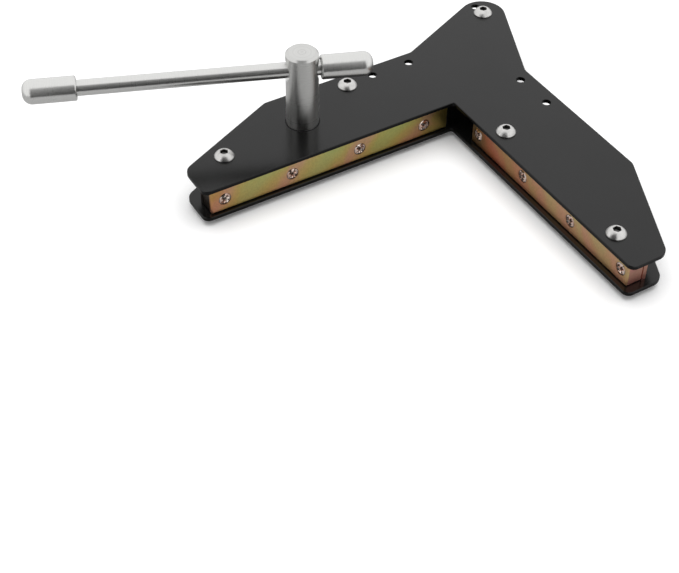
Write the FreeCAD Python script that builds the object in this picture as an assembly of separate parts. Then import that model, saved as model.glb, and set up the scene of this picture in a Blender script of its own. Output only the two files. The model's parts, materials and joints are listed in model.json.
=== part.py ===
import FreeCAD, Part
import math
import os

# A magnetic corner clamp. Two plates with a gap between them hold a magnetic jaw along each
# arm, and a cam under the handle pushes the left jaw out to free the workpiece.
# The work faces meet at x = 0, y = 0. The left arm runs along -X and its work face looks to -Y;
# the right arm runs along -Y and its work face looks to -X. The underside of the bottom plate
# is z = 0 and +Z is up. Sizes are in millimetres and angles in degrees.

# Pole plates
PLATE_THICKNESS = 3.0
PLATE_GAP = 20.0
ARM_LENGTH = 200.0
ARM_END_WIDTH = 29.0
SHOULDER_FROM_CORNER = 117.5
BODY_WIDTH = 67.5
WAIST_FROM_CORNER = 6.7
TAIL_ANGLE = 24.0
INNER_CORNER_RADIUS = 2.0
FRONT_CORNER_RADIUS = 5.0
END_CORNER_RADIUS = 10.0
SHOULDER_RADIUS = 9.0
WAIST_RADIUS = 8.0
APEX_RADIUS = 17.0
PLATE_EDGE_BREAK = 0.4

# Small holes in the plates
SMALL_HOLE_DIAMETER = 6.6
PAIR_HOLE_FROM_CORNER = 1.7
PAIR_HOLE_SPACING = 31.3
PAIR_HOLE_FROM_BACK_EDGE = 10.3
HANGING_HOLE_FROM_APEX_SCREW = 10.2

# Button head screws and the spacers between the plates
BUTTON_HEAD_DIAMETER = 14.0
BUTTON_HEAD_HEIGHT = 4.4
BUTTON_RIM_HEIGHT = 0.8
BUTTON_FLAT_DIAMETER = 6.8
BUTTON_SHANK_DIAMETER = 8.0
BUTTON_SHANK_REACH = 8.0
HEX_SOCKET_WIDTH = 5.0
HEX_SOCKET_DEPTH = 2.8
HEX_SOCKET_CONE = 1.0
BUTTON_SCREW_TURN = 13.0
SPACER_DIAMETER = 12.0
SPACER_CHAMFER = 0.5
END_SPACER_FROM_ARM_END = 30.0
END_SPACER_FROM_WORK_FACE = 28.2
MIDDLE_SPACER_FROM_CORNER = 55.7
MIDDLE_SPACER_FROM_BACK_EDGE = 12.3

# Jaws: a zinc plated bar with magnet pockets, closed by a strip at its back
JAW_BAR_DEPTH = 13.0
JAW_STRIP_THICKNESS = 3.0
JAW_EDGE_BREAK = 1.0
SLIDING_JAW_RECESS = 2.4
SLIDING_JAW_FROM_CORNER = 3.0
SLIDING_JAW_FROM_ARM_END = 6.0
FIXED_JAW_RECESS = 4.0
FIXED_JAW_FROM_CORNER = 18.5
FIXED_JAW_FROM_ARM_END = 6.3
FIXED_JAW_SCREW_MARGIN = 7.5
FIXED_JAW_SCREW_COUNT = 4
SLIDING_JAW_INNER_MARGIN = 20.4
SLIDING_JAW_OUTER_MARGIN = 10.4
JAW_BOLT_DEPTH = 8.0
JAW_BOLT_FROM_INNER_END = 28.1
JAW_BOLT_FROM_OUTER_END = 24.9
MAGNET_LENGTH = 20.0
MAGNET_DEPTH = 10.0
SCREW_WEB = 2.4

# Raised countersunk jaw screws
JAW_SCREW_HEAD_DIAMETER = 9.3
JAW_SCREW_DOME = 1.2
JAW_SCREW_RIM = 0.3
JAW_SCREW_DIAMETER = 5.0
JAW_SCREW_SUNK = 0.15
JAW_SCREW_LONG_REACH = 9.0
JAW_SCREW_TURN = 27.0
CROSS_RECESS_SPAN = 5.6
CROSS_RECESS_WIDTH = 1.6
CROSS_RECESS_DEPTH = 2.4
CROSS_RECESS_TAPER = 0.4

# Release cam, its yoke and the guides of the sliding jaw
RELEASE_STROKE = 5.0
CAM_TURN = 120.0
CAM_FLANK_RUN_ON = 10.0
CAM_FLANK_POINTS = 15
YOKE_SIDE_PLAY = 0.4
YOKE_ARM_WIDTH = 7.5
YOKE_BACK_WALL = 4.0
YOKE_WINDOW_RADIUS = 3.0
YOKE_OUTER_RADIUS = 8.0
GUIDE_WALL = 4.0
GUIDE_PRONG_REACH = 6.8
GUIDE_LUG_DEPTH = 8.0
FORK_BASE_THICKNESS = 3.4
FORK_BLOCK_MARGIN = 5.0
FORK_BLOCK_DEPTH = 11.0
GUIDE_CORNER_RADIUS = 1.5

# Handle post, its bushes, key and circlip
POST_FROM_CORNER = 104.2
POST_FROM_WORK_FACE = 35.6
POST_DIAMETER = 23.0
POST_ABOVE_PLATE = 58.3
POST_TOP_CHAMFER = 1.5
POST_FOOT_CHAMFER = 0.8
POST_FOOT_BELOW_PLATE = 3.0
CROSS_HOLE_MOUTH_DIAMETER = 17.0
JOURNAL_DIAMETER = 14.0
BUSH_WALL = 0.8
UPPER_BUSH_FLANGE_DIAMETER = 30.0
LOWER_BUSH_SLEEVE_WALL = 2.0
LOWER_BUSH_FLANGE_DIAMETER = 26.0
BUSH_FLANGE_THICKNESS = 2.0
CIRCLIP_THICKNESS = 1.0
CIRCLIP_GROOVE_WIDTH = 1.1
CIRCLIP_GROOVE_DEPTH = 0.5
CIRCLIP_BAND = 3.0
CIRCLIP_BAND_TAPER = 0.6
CIRCLIP_OPENING = 8.0
CIRCLIP_EAR_RADIUS = 2.0
CIRCLIP_EAR_HOLE = 1.6
KEY_WIDTH = 5.0
KEY_HEIGHT = 5.0
KEY_LENGTH = 12.0
KEY_DEPTH_IN_POST = 3.0

# Tommy bar and its end caps
BAR_DIAMETER = 11.0
BAR_ABOVE_PLATE = 44.6
BAR_ANGLE = -21.8
CAP_DIAMETER = 17.0
CAP_LENGTH = 36.0
CAP_DOME = 6.5
CAP_CHAMFER = 0.8
CAP_SOCKET_DEPTH = 27.0
CAP_MOUTH_DIAMETER = 13.6
CAP_MOUTH_DEPTH = 1.6
CAP_TO_CAP = 165.0
CAP_TO_POST_AT_REST = 1.3

# Clearances
PRESS_GAP = 0.02
RUNNING_GAP = 0.05
SCREW_GAP = 0.05
MAGNET_GAP = 0.1
JAW_SIDE_GAP = 0.2
GUIDE_GAP = 0.15
CAM_GAP = 0.1
CAM_END_GAP = 0.1
BAR_GAP = 0.1

# Two points of an outline that are closer than this are one point.
SAME_POINT = 0.001

# Levels and places worked out from the sizes above
TOP_PLATE_UNDERSIDE = PLATE_THICKNESS + PLATE_GAP
TOP_SURFACE = TOP_PLATE_UNDERSIDE + PLATE_THICKNESS
MIDDLE_LEVEL = PLATE_THICKNESS + PLATE_GAP / 2
POST_X = -POST_FROM_CORNER
POST_Y = POST_FROM_WORK_FACE
BAR_LEVEL = TOP_SURFACE + BAR_ABOVE_PLATE
JAW_DEPTH = JAW_BAR_DEPTH + JAW_STRIP_THICKNESS
SLIDING_JAW_BACK = SLIDING_JAW_RECESS + JAW_DEPTH
END_SPACER = (END_SPACER_FROM_ARM_END - ARM_LENGTH, END_SPACER_FROM_WORK_FACE)
MIDDLE_SPACER = (-MIDDLE_SPACER_FROM_CORNER, BODY_WIDTH - MIDDLE_SPACER_FROM_BACK_EDGE)
FIXED_JAW_END = ARM_LENGTH - FIXED_JAW_FROM_ARM_END
JAW_BOLTS = (FIXED_JAW_FROM_CORNER + JAW_BOLT_FROM_INNER_END, FIXED_JAW_END - JAW_BOLT_FROM_OUTER_END)
CAM_BOTTOM = PLATE_THICKNESS + BUSH_FLANGE_THICKNESS + CAM_END_GAP
CAM_TOP = TOP_PLATE_UNDERSIDE - BUSH_FLANGE_THICKNESS - CAM_END_GAP

# The cam's flanks are involutes, so its reach grows evenly with the turn: reach at an angle is
# CAM_LOW_REACH + CAM_RISE times that angle in radians, and the yoke's two faces stay in touch.
CAM_RISE = RELEASE_STROKE / math.radians(CAM_TURN)
CAM_START = (180.0 - CAM_TURN) / 2
CAM_REST_REACH = POST_Y - SLIDING_JAW_BACK - CAM_GAP
CAM_LOW_REACH = CAM_REST_REACH - CAM_RISE * math.radians(CAM_START)
CAM_FLANK_END = 180.0 - CAM_START + CAM_FLANK_RUN_ON
CAM_ANGLE_AT_REST = -90.0 - CAM_START
YOKE_WINDOW_BACK = POST_Y + CAM_LOW_REACH + CAM_RISE * math.radians(180.0 - CAM_START) + CAM_GAP

Z_AXIS = FreeCAD.Vector(0, 0, 1)
Y_AXIS = FreeCAD.Vector(0, 1, 0)
X_AXIS = FreeCAD.Vector(1, 0, 0)
ORIGIN = FreeCAD.Vector(0, 0, 0)


def apex_corner():
    """Distance along x and y of the sharp corner where the two tail edges would meet."""
    slope = math.tan(math.radians(TAIL_ANGLE))
    return (BODY_WIDTH - WAIST_FROM_CORNER * slope) / (1 - slope)


def apex_centre():
    """Distance along x and y of the centre of the apex rounding."""
    half_angle = math.radians(45.0 - TAIL_ANGLE)
    return apex_corner() - APEX_RADIUS / math.sin(half_angle) * math.cos(math.radians(45.0))


APEX_SCREW = (apex_centre(), apex_centre())
HANGING_HOLE = (APEX_SCREW[0], APEX_SCREW[1] + HANGING_HOLE_FROM_APEX_SCREW)
FIXED_JAW_BOLT_LINE = FIXED_JAW_RECESS + JAW_BOLT_DEPTH
SCREW_PLACES = [
    END_SPACER,
    MIDDLE_SPACER,
    APEX_SCREW,
    (FIXED_JAW_BOLT_LINE, -JAW_BOLTS[0]),
    (FIXED_JAW_BOLT_LINE, -JAW_BOLTS[1]),
]


def rounded_face(corners, level=0.0):
    """Flat face inside an outline of (x, y, radius) corners, each rounded by a tangent arc."""
    arcs = []
    for index, (x, y, radius) in enumerate(corners):
        following = corners[(index + 1) % len(corners)]
        corner = FreeCAD.Vector(x, y, level)
        back = (FreeCAD.Vector(corners[index - 1][0], corners[index - 1][1], level) - corner).normalize()
        ahead = (FreeCAD.Vector(following[0], following[1], level) - corner).normalize()
        half_angle = back.getAngle(ahead) / 2
        setback = radius / math.tan(half_angle)
        inward = (back + ahead).normalize() * (radius / math.sin(half_angle) - radius)
        arcs.append((corner + back * setback, corner + inward, corner + ahead * setback))
    edges = []
    for index, (start, middle, end) in enumerate(arcs):
        if corners[index][2] > 0:
            edges.append(Part.Arc(start, middle, end).toShape())
        next_start = arcs[(index + 1) % len(arcs)][0]
        if end.distanceToPoint(next_start) > SAME_POINT:
            edges.append(Part.LineSegment(end, next_start).toShape())
    return Part.Face(Part.Wire(edges))


def revolved(points, axis=Z_AXIS):
    """Solid of revolution about an axis through the origin, from a closed chain of points."""
    return Part.Face(Part.makePolygon(points + points[:1])).revolve(ORIGIN, axis, 360)


def upright(diameter, bottom, top, place=(0.0, 0.0)):
    """Upright cylinder between two levels."""
    base = FreeCAD.Vector(place[0], place[1], bottom)
    return Part.makeCylinder(diameter / 2, top - bottom, base, Z_AXIS)


def block(x, y, z):
    """Box between two values of x, of y and of z."""
    return Part.makeBox(x[1] - x[0], y[1] - y[0], z[1] - z[0], FreeCAD.Vector(x[0], y[0], z[0]))


def turned(shape, angle, axis=Z_AXIS):
    """Copy of a shape turned about an axis through the origin."""
    result = shape.copy()
    result.rotate(ORIGIN, axis, angle)
    return result


def moved(shape, x, y, z=0.0):
    """Copy of a shape moved by a distance along each axis."""
    result = shape.copy()
    result.translate(FreeCAD.Vector(x, y, z))
    return result


def on_right_arm(shape):
    """Mirror image of a left arm's piece on the right arm."""
    return shape.mirror(ORIGIN, FreeCAD.Vector(1, -1, 0))


def hexagon_prism(width, bottom, top):
    """Upright hexagonal prism with a given width across its flats."""
    corner_radius = width / 2 / math.cos(math.radians(30))
    corners = [
        FreeCAD.Vector(
            corner_radius * math.cos(math.radians(60 * index)),
            corner_radius * math.sin(math.radians(60 * index)),
            bottom,
        )
        for index in range(6)
    ]
    return Part.Face(Part.makePolygon(corners + corners[:1])).extrude(Z_AXIS * (top - bottom))


def plate_blank(bottom):
    """Plate with its outline and broken edges, before its holes."""
    apex = apex_corner()
    left_half = [
        (-ARM_LENGTH, 0.0, FRONT_CORNER_RADIUS),
        (-ARM_LENGTH, ARM_END_WIDTH, END_CORNER_RADIUS),
        (-SHOULDER_FROM_CORNER, BODY_WIDTH, SHOULDER_RADIUS),
        (WAIST_FROM_CORNER, BODY_WIDTH, WAIST_RADIUS),
    ]
    right_half = [(y, x, radius) for x, y, radius in reversed(left_half)]
    outline = [(0.0, 0.0, INNER_CORNER_RADIUS)] + left_half + [(apex, apex, APEX_RADIUS)] + right_half
    blank = rounded_face(outline, bottom).extrude(Z_AXIS * PLATE_THICKNESS)
    rim = [edge for edge in blank.Edges if edge.BoundBox.ZLength < PLATE_EDGE_BREAK]
    return blank.makeChamfer(PLATE_EDGE_BREAK, rim)


def pole_plate(bottom, post_hole_diameter, hole_places):
    """Plate at a level, with its screw holes, the hole for the post and its small holes."""
    top = bottom + PLATE_THICKNESS
    screw_hole = BUTTON_SHANK_DIAMETER + 2 * SCREW_GAP
    cutters = [upright(screw_hole, bottom, top, place) for place in SCREW_PLACES]
    cutters.append(upright(post_hole_diameter, bottom, top, (POST_X, POST_Y)))
    cutters += [upright(SMALL_HOLE_DIAMETER, bottom, top, place) for place in hole_places]
    return plate_blank(bottom).cut(cutters)


def pair_hole_places():
    """The two pairs of small holes in the top plate, one pair beside each arm's root."""
    line = BODY_WIDTH - PAIR_HOLE_FROM_BACK_EDGE
    distances = (PAIR_HOLE_FROM_CORNER, PAIR_HOLE_FROM_CORNER + PAIR_HOLE_SPACING)
    return [(-distance, line) for distance in distances] + [(line, -distance) for distance in distances]


def button_screw():
    """Button head screw standing on z = 0, with a hexagon socket in its domed head."""
    flat_radius = BUTTON_FLAT_DIAMETER / 2
    head_radius = BUTTON_HEAD_DIAMETER / 2
    shank_radius = BUTTON_SHANK_DIAMETER / 2
    shank_end = -PLATE_THICKNESS - BUTTON_SHANK_REACH
    rise = BUTTON_HEAD_HEIGHT - BUTTON_RIM_HEIGHT
    # The dome is part of a sphere whose centre lies on the screw's axis.
    centre = (BUTTON_HEAD_HEIGHT + BUTTON_RIM_HEIGHT - (head_radius ** 2 - flat_radius ** 2) / rise) / 2
    sphere_radius = math.hypot(head_radius, BUTTON_RIM_HEIGHT - centre)
    middle_radius = (flat_radius + head_radius) / 2
    middle_height = centre + math.sqrt(sphere_radius ** 2 - middle_radius ** 2)
    flat_edge = FreeCAD.Vector(flat_radius, 0, BUTTON_HEAD_HEIGHT)
    dome_middle = FreeCAD.Vector(middle_radius, 0, middle_height)
    rim_top = FreeCAD.Vector(head_radius, 0, BUTTON_RIM_HEIGHT)
    straight = [
        rim_top,
        FreeCAD.Vector(head_radius, 0, 0),
        FreeCAD.Vector(shank_radius, 0, 0),
        FreeCAD.Vector(shank_radius, 0, shank_end + SPACER_CHAMFER),
        FreeCAD.Vector(shank_radius - SPACER_CHAMFER, 0, shank_end),
        FreeCAD.Vector(0, 0, shank_end),
        FreeCAD.Vector(0, 0, BUTTON_HEAD_HEIGHT),
        flat_edge,
    ]
    edges = [Part.Arc(flat_edge, dome_middle, rim_top).toShape()]
    edges += [Part.LineSegment(start, end).toShape() for start, end in zip(straight, straight[1:])]
    body = Part.Face(Part.Wire(edges)).revolve(ORIGIN, Z_AXIS, 360)
    socket_floor = BUTTON_HEAD_HEIGHT - HEX_SOCKET_DEPTH
    socket = hexagon_prism(HEX_SOCKET_WIDTH, socket_floor, BUTTON_HEAD_HEIGHT)
    point = Part.makeCone(
        0, HEX_SOCKET_WIDTH / 2, HEX_SOCKET_CONE,
        FreeCAD.Vector(0, 0, socket_floor - HEX_SOCKET_CONE), Z_AXIS)
    return body.cut([socket, point])


def button_screws(from_below):
    """The five screws of one plate, each stopped at its own angle."""
    screws = []
    for index, (x, y) in enumerate(SCREW_PLACES):
        screw = turned(button_screw(), BUTTON_SCREW_TURN * (index + 1))
        if from_below:
            screws.append(moved(turned(screw, 180, X_AXIS), x, y))
        else:
            screws.append(moved(screw, x, y, TOP_SURFACE))
    return Part.Compound(screws)


def spacer(place):
    """Round spacer between the plates, tapped from both ends."""
    body = upright(SPACER_DIAMETER, PLATE_THICKNESS, TOP_PLATE_UNDERSIDE, place)
    rims = [edge for edge in body.Edges if edge.BoundBox.ZLength < SPACER_CHAMFER]
    body = body.makeChamfer(SPACER_CHAMFER, rims)
    bore = BUTTON_SHANK_DIAMETER + 2 * SCREW_GAP
    return body.cut(upright(bore, PLATE_THICKNESS, TOP_PLATE_UNDERSIDE, place))


def jaw_screw_body(length, gap=0.0):
    """Countersunk body along +Y with its rim at y = 0; a gap gives the hole that it needs."""
    head_radius = JAW_SCREW_HEAD_DIAMETER / 2 + gap
    radius = JAW_SCREW_DIAMETER / 2 + gap
    cone_end = JAW_SCREW_RIM + head_radius - radius
    points = [
        FreeCAD.Vector(0, 0, 0),
        FreeCAD.Vector(head_radius, 0, 0),
        FreeCAD.Vector(head_radius, JAW_SCREW_RIM, 0),
        FreeCAD.Vector(radius, cone_end, 0),
        FreeCAD.Vector(radius, length, 0),
        FreeCAD.Vector(0, length, 0),
    ]
    return revolved(points, Y_AXIS)


def jaw_screw_dome():
    """Low dome on the screw's rim, part of a sphere whose centre lies on the screw's axis."""
    rim = JAW_SCREW_HEAD_DIAMETER / 2
    sphere_radius = (rim ** 2 + JAW_SCREW_DOME ** 2) / (2 * JAW_SCREW_DOME)
    sphere = Part.makeSphere(sphere_radius, FreeCAD.Vector(0, sphere_radius - JAW_SCREW_DOME, 0))
    return sphere.common(block((-rim, rim), (-JAW_SCREW_DOME, 0.0), (-rim, rim)))


def cross_outline(span, width, depth):
    """Outline of a cross recess at a depth below the screw's face."""
    far = span / 2
    near = width / 2
    quarter = [(far, near), (near, near), (near, far)]
    points = []
    for index in range(4):
        angle = math.radians(90 * index)
        for x, z in quarter:
            across = x * math.cos(angle) - z * math.sin(angle)
            upward = x * math.sin(angle) + z * math.cos(angle)
            points.append(FreeCAD.Vector(across, depth, upward))
    return Part.makePolygon(points + points[:1])


def jaw_screws(places, front, lengths):
    """Countersunk screws of a jaw on the left arm, at places given as distances from the corner."""
    screws = []
    floor_span = CROSS_RECESS_SPAN * CROSS_RECESS_TAPER
    floor_width = CROSS_RECESS_WIDTH * CROSS_RECESS_TAPER
    recess = Part.makeLoft([
        cross_outline(CROSS_RECESS_SPAN, CROSS_RECESS_WIDTH, -JAW_SCREW_DOME),
        cross_outline(floor_span, floor_width, CROSS_RECESS_DEPTH - JAW_SCREW_DOME),
    ], True, True)
    raised = jaw_screw_dome()
    for index, (place, length) in enumerate(zip(places, lengths)):
        body = jaw_screw_body(length).fuse(raised).removeSplitter().cut(recess)
        screw = turned(body, JAW_SCREW_TURN * (index + 1), Y_AXIS)
        screws.append(moved(screw, -place, front + JAW_SCREW_SUNK, MIDDLE_LEVEL))
    return Part.Compound(screws)


def magnet_spans(screw_places, bolt_places):
    """Middle and magnet count of each pocket that fits between the screws and bolts of a jaw."""
    webs = [(place, JAW_SCREW_DIAMETER / 2 + SCREW_WEB) for place in screw_places]
    webs += [(place, BUTTON_SHANK_DIAMETER / 2 + SCREW_WEB) for place in bolt_places]
    webs.sort()
    spans = []
    for (near, near_web), (far, far_web) in zip(webs, webs[1:]):
        start = near + near_web
        end = far - far_web
        count = int((end - start) // (MAGNET_LENGTH + MAGNET_GAP))
        if count > 0:
            spans.append(((start + end) / 2, count))
    return spans


def jaw_bar(near, far, front, side_gap, screw_places, bolt_places, lengths):
    """Jaw bar on the left arm, with countersunk holes, bolt holes and magnet pockets."""
    levels = (PLATE_THICKNESS + side_gap, TOP_PLATE_UNDERSIDE - side_gap)
    back = front + JAW_BAR_DEPTH
    body = block((-far, -near), (front, back), levels)
    body = body.makeChamfer(JAW_EDGE_BREAK, body.Edges)
    cutters = []
    for place, length in zip(screw_places, lengths):
        cutters.append(moved(jaw_screw_body(length, SCREW_GAP), -place, front + JAW_SCREW_SUNK, MIDDLE_LEVEL))
        mouth = Part.makeCylinder(
            JAW_SCREW_HEAD_DIAMETER / 2 + SCREW_GAP, JAW_SCREW_SUNK,
            FreeCAD.Vector(-place, front, MIDDLE_LEVEL), Y_AXIS)
        cutters.append(mouth)
    for place in bolt_places:
        hole = BUTTON_SHANK_DIAMETER + 2 * SCREW_GAP
        cutters.append(upright(hole, levels[0], levels[1], (-place, front + JAW_BOLT_DEPTH)))
    for middle, count in magnet_spans(screw_places, bolt_places):
        half = count * MAGNET_LENGTH / 2 + MAGNET_GAP
        pocket_floor = back - MAGNET_DEPTH - MAGNET_GAP
        cutters.append(block((-middle - half, half - middle), (pocket_floor, back), levels))
    return body.cut(cutters)


def jaw_magnets(front, side_gap, screw_places, bolt_places):
    """Block magnets in the pockets of a jaw on the left arm."""
    levels = (PLATE_THICKNESS + side_gap, TOP_PLATE_UNDERSIDE - side_gap)
    back = front + JAW_BAR_DEPTH
    magnets = []
    for middle, count in magnet_spans(screw_places, bolt_places):
        first = -middle - count * MAGNET_LENGTH / 2
        for index in range(count):
            start = first + index * MAGNET_LENGTH
            magnets.append(block((start, start + MAGNET_LENGTH), (back - MAGNET_DEPTH, back), levels))
    return Part.Compound(magnets)


def jaw_strip(near, far, front, side_gap, screw_places):
    """Strip that closes the pockets behind a jaw bar on the left arm, with tapped holes."""
    levels = (PLATE_THICKNESS + side_gap, TOP_PLATE_UNDERSIDE - side_gap)
    start = front + JAW_BAR_DEPTH
    body = block((-far, -near), (start, start + JAW_STRIP_THICKNESS), levels)
    return body.cut([tapped_hole(place, start, JAW_STRIP_THICKNESS) for place in screw_places])


def tapped_hole(place, start, depth):
    """Hole along +Y for a jaw screw on the left arm, at a distance from the corner."""
    base = FreeCAD.Vector(-place, start, MIDDLE_LEVEL)
    return Part.makeCylinder(JAW_SCREW_DIAMETER / 2 + SCREW_GAP, depth, base, Y_AXIS)


def cam_flank(sign):
    """Points of one involute flank of the cam, from its low side to the start of its lobe."""
    points = []
    for index in range(CAM_FLANK_POINTS):
        angle = math.radians(CAM_FLANK_END * index / (CAM_FLANK_POINTS - 1))
        reach = CAM_LOW_REACH + CAM_RISE * angle
        x = reach * math.cos(angle) - CAM_RISE * math.sin(angle)
        y = reach * math.sin(angle) + CAM_RISE * math.cos(angle)
        points.append(FreeCAD.Vector(x, sign * y, CAM_BOTTOM))
    return points


def cam_tip_reach():
    """Distance from the post's axis to the top of the lobe, an arc tangent to both flanks."""
    end_angle = math.radians(CAM_FLANK_END)
    reach = CAM_LOW_REACH + CAM_RISE * end_angle
    radius = reach + CAM_RISE / math.tan(end_angle)
    centre = reach * math.cos(end_angle) - CAM_RISE * math.sin(end_angle) - radius * math.cos(end_angle)
    return radius - centre


def yoke_half_window():
    """Half the width of the yoke's window, which the cam's lobe sweeps."""
    return cam_tip_reach() + YOKE_SIDE_PLAY


def sliding_screw_places():
    """Distances from the corner of the sliding jaw's screws; the middle two hold the yoke's arms."""
    yoke_arm = yoke_half_window() + YOKE_ARM_WIDTH / 2
    return [
        SLIDING_JAW_FROM_CORNER + SLIDING_JAW_INNER_MARGIN,
        POST_FROM_CORNER - yoke_arm,
        POST_FROM_CORNER + yoke_arm,
        ARM_LENGTH - SLIDING_JAW_FROM_ARM_END - SLIDING_JAW_OUTER_MARGIN,
    ]


def release_cam():
    """Cam on the post's journal: two involute flanks, a flat low side and a rounded lobe."""
    upper = cam_flank(1)
    lower = cam_flank(-1)
    tip = FreeCAD.Vector(-cam_tip_reach(), 0, CAM_BOTTOM)
    edges = []
    for points in (upper, lower):
        curve = Part.BSplineCurve()
        curve.interpolate(points)
        edges.append(curve.toShape())
    edges.insert(1, Part.Arc(upper[-1], tip, lower[-1]).toShape())
    edges.append(Part.LineSegment(lower[0], upper[0]).toShape())
    body = Part.Face(Part.Wire(Part.sortEdges(edges)[0])).extrude(Z_AXIS * (CAM_TOP - CAM_BOTTOM))
    bore = upright(JOURNAL_DIAMETER + 2 * PRESS_GAP, CAM_BOTTOM, CAM_TOP)
    key_side = KEY_WIDTH / 2 + PRESS_GAP
    key_reach = JOURNAL_DIAMETER / 2 - KEY_DEPTH_IN_POST + KEY_HEIGHT + PRESS_GAP
    keyway = block((-key_reach, 0.0), (-key_side, key_side), (CAM_BOTTOM, CAM_TOP))
    return moved(turned(body.cut([bore, keyway]), CAM_ANGLE_AT_REST), POST_X, POST_Y)


def key_block(gap):
    """Block of the key between the post and the cam; a gap gives the slot that it needs."""
    inner = JOURNAL_DIAMETER / 2 - KEY_DEPTH_IN_POST
    middle = (CAM_BOTTOM + CAM_TOP) / 2
    half = KEY_LENGTH / 2 + gap
    side = KEY_WIDTH / 2 + gap
    body = block((-inner - KEY_HEIGHT, gap - inner), (-side, side), (middle - half, middle + half))
    return moved(turned(body, CAM_ANGLE_AT_REST), POST_X, POST_Y)


def handle_post():
    """Post with its cross hole, a journal for the cam and the bushes, and a circlip groove."""
    radius = POST_DIAMETER / 2
    journal = JOURNAL_DIAMETER / 2
    top = TOP_SURFACE + POST_ABOVE_PLATE
    foot = -POST_FOOT_BELOW_PLATE
    profile = [
        (0.0, top),
        (radius - POST_TOP_CHAMFER, top),
        (radius, top - POST_TOP_CHAMFER),
        (radius, CAM_TOP),
        (journal, CAM_TOP),
        (journal, 0.0),
        (journal - CIRCLIP_GROOVE_DEPTH, 0.0),
        (journal - CIRCLIP_GROOVE_DEPTH, -CIRCLIP_GROOVE_WIDTH),
        (journal, -CIRCLIP_GROOVE_WIDTH),
        (journal, foot + POST_FOOT_CHAMFER),
        (journal - POST_FOOT_CHAMFER, foot),
        (0.0, foot),
    ]
    body = moved(revolved([FreeCAD.Vector(r, 0, z) for r, z in profile]), POST_X, POST_Y)
    hole = bar_cylinder(BAR_DIAMETER / 2 + BAR_GAP, -POST_DIAMETER, POST_DIAMETER)
    return body.cut([hole, cross_hole_mouth(0), cross_hole_mouth(180), key_block(PRESS_GAP)])


def cross_hole_mouth(side):
    """Wide countersink, at 45 degrees, where the cross hole comes out on one side of the post."""
    radius = CROSS_HOLE_MOUTH_DIAMETER / 2
    point = POST_DIAMETER / 2 - radius
    cone = Part.makeCone(0, 2 * radius, 2 * radius, X_AXIS * point, X_AXIS)
    return moved(turned(cone, BAR_ANGLE + side), POST_X, POST_Y, BAR_LEVEL)


def upper_post_bush():
    """Flanged bush in the top plate, with its flange under the plate."""
    flange_bottom = TOP_PLATE_UNDERSIDE - BUSH_FLANGE_THICKNESS
    place = (POST_X, POST_Y)
    flange = upright(UPPER_BUSH_FLANGE_DIAMETER, flange_bottom, TOP_PLATE_UNDERSIDE, place)
    bore = POST_DIAMETER + 2 * RUNNING_GAP
    sleeve = upright(upper_sleeve_diameter(), flange_bottom, TOP_SURFACE, place)
    return flange.fuse(sleeve).cut(upright(bore, flange_bottom, TOP_SURFACE, place))


def upper_sleeve_diameter():
    """Outside of the upper bush's sleeve."""
    return POST_DIAMETER + 2 * RUNNING_GAP + 2 * BUSH_WALL


def lower_sleeve_diameter():
    """Outside of the lower bush's sleeve."""
    return JOURNAL_DIAMETER + 2 * RUNNING_GAP + 2 * LOWER_BUSH_SLEEVE_WALL


def lower_post_bush():
    """Flanged bush in the bottom plate, with its flange under the cam."""
    flange_top = PLATE_THICKNESS + BUSH_FLANGE_THICKNESS
    place = (POST_X, POST_Y)
    flange = upright(LOWER_BUSH_FLANGE_DIAMETER, PLATE_THICKNESS, flange_top, place)
    sleeve = upright(lower_sleeve_diameter(), 0.0, flange_top, place)
    return flange.fuse(sleeve).cut(upright(JOURNAL_DIAMETER + 2 * RUNNING_GAP, 0.0, flange_top, place))


def post_circlip():
    """Open retaining ring in the post's groove, widest opposite its opening, with drilled ears."""
    top = -RUNNING_GAP
    bottom = top - CIRCLIP_THICKNESS
    inner_radius = JOURNAL_DIAMETER / 2 - CIRCLIP_GROOVE_DEPTH + PRESS_GAP
    outer_radius = inner_radius + CIRCLIP_BAND - CIRCLIP_BAND_TAPER
    ring = upright(2 * outer_radius, bottom, top, (0.0, CIRCLIP_BAND_TAPER))
    ear_places = [(sign * CIRCLIP_OPENING / 2, -inner_radius) for sign in (-1, 1)]
    ears = [upright(2 * CIRCLIP_EAR_RADIUS, bottom, top, place) for place in ear_places]
    half_opening = CIRCLIP_OPENING / 2 - CIRCLIP_EAR_RADIUS / 2
    opening = block((-half_opening, half_opening), (-2 * outer_radius, 0.0), (bottom, top))
    holes = [upright(CIRCLIP_EAR_HOLE, bottom, top, place) for place in ear_places]
    bore = upright(2 * inner_radius, bottom, top)
    return moved(ring.fuse(ears).cut([bore, opening] + holes), POST_X, POST_Y)


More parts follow.
